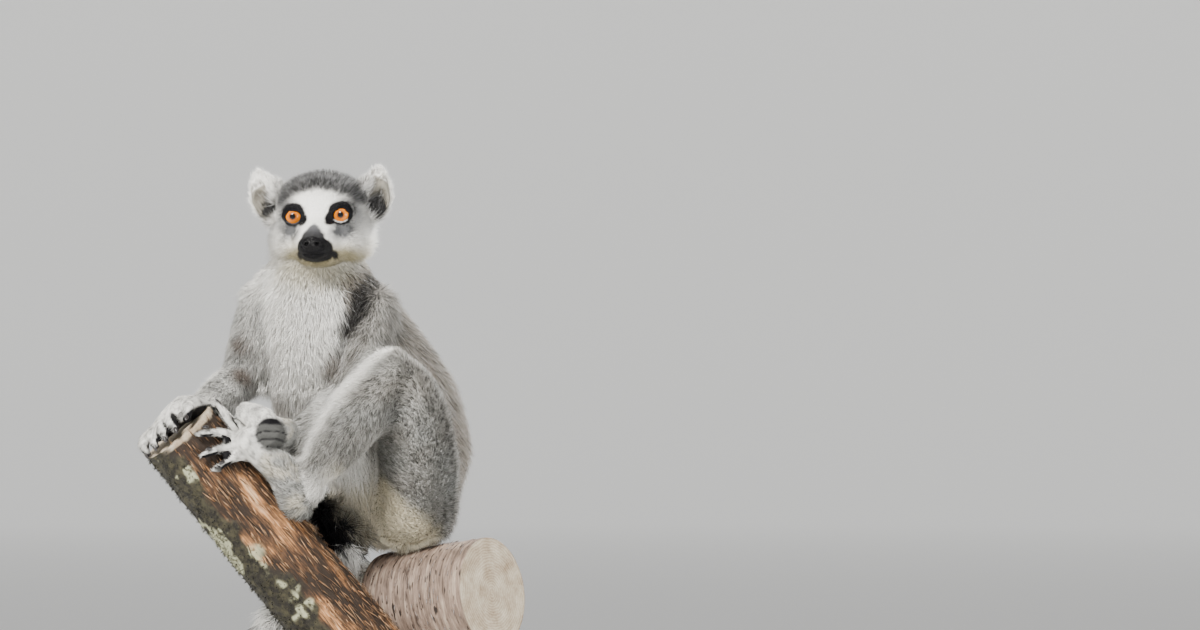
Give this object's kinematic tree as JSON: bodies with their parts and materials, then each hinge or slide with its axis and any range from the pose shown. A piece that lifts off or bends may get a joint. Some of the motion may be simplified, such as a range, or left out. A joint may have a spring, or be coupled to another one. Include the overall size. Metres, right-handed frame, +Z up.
{
  "type": "ring-tailed lemur model on display stand",
  "caption": "Life-size ring-tailed lemur, sitting still on a short log with hands and feet on a slanting perch, on a flat display stand.",
  "frame": {"origin": "middle of the display stand's underside", "axes": "+Z up, -Y the way the animal's face looks, +X to its own left"},
  "size_m": [0.354, 0.276, 0.6467],
  "materials": {
    "white_coat": "soft fur, white to cream",
    "grey_coat": "soft fur, grey ticked with black",
    "ringed_coat": "long soft fur in black and white rings",
    "bare_skin": "dark wrinkled skin with pale short fur",
    "eye": "amber iris under a clear cornea",
    "torn_wood": "weathered, torn orange-brown wood with dark bark",
    "birch_bark": "ringed papery bark",
    "stand_wood": "satin varnish",
    "stand_steel": "brushed"
  },
  "bodies": {
    "root": {"head": "white_coat", "ear_left": "white_coat", "ear_right": "white_coat", "eye_left": "eye", "eye_right": "eye", "neck": "white_coat", "trunk": "grey_coat", "upper_arm_left": "grey_coat", "upper_arm_right": "grey_coat", "forearm_left": "grey_coat", "forearm_right": "grey_coat", "hand_left": "bare_skin", "hand_right": "bare_skin", "thigh_left": "grey_coat", "thigh_right": "grey_coat", "shin_left": "grey_coat", "shin_right": "grey_coat", "foot_left": "bare_skin", "foot_right": "bare_skin", "tail_1": "ringed_coat", "tail_2": "ringed_coat", "tail_3": "ringed_coat", "tail_4": "ringed_coat", "tail_5": "ringed_coat", "perch_log": "torn_wood", "seat_log": "birch_bark", "stand_base": "stand_wood", "stand_rod_front": "stand_steel", "stand_rod_back": "stand_steel"}
  },
  "joints": []
}
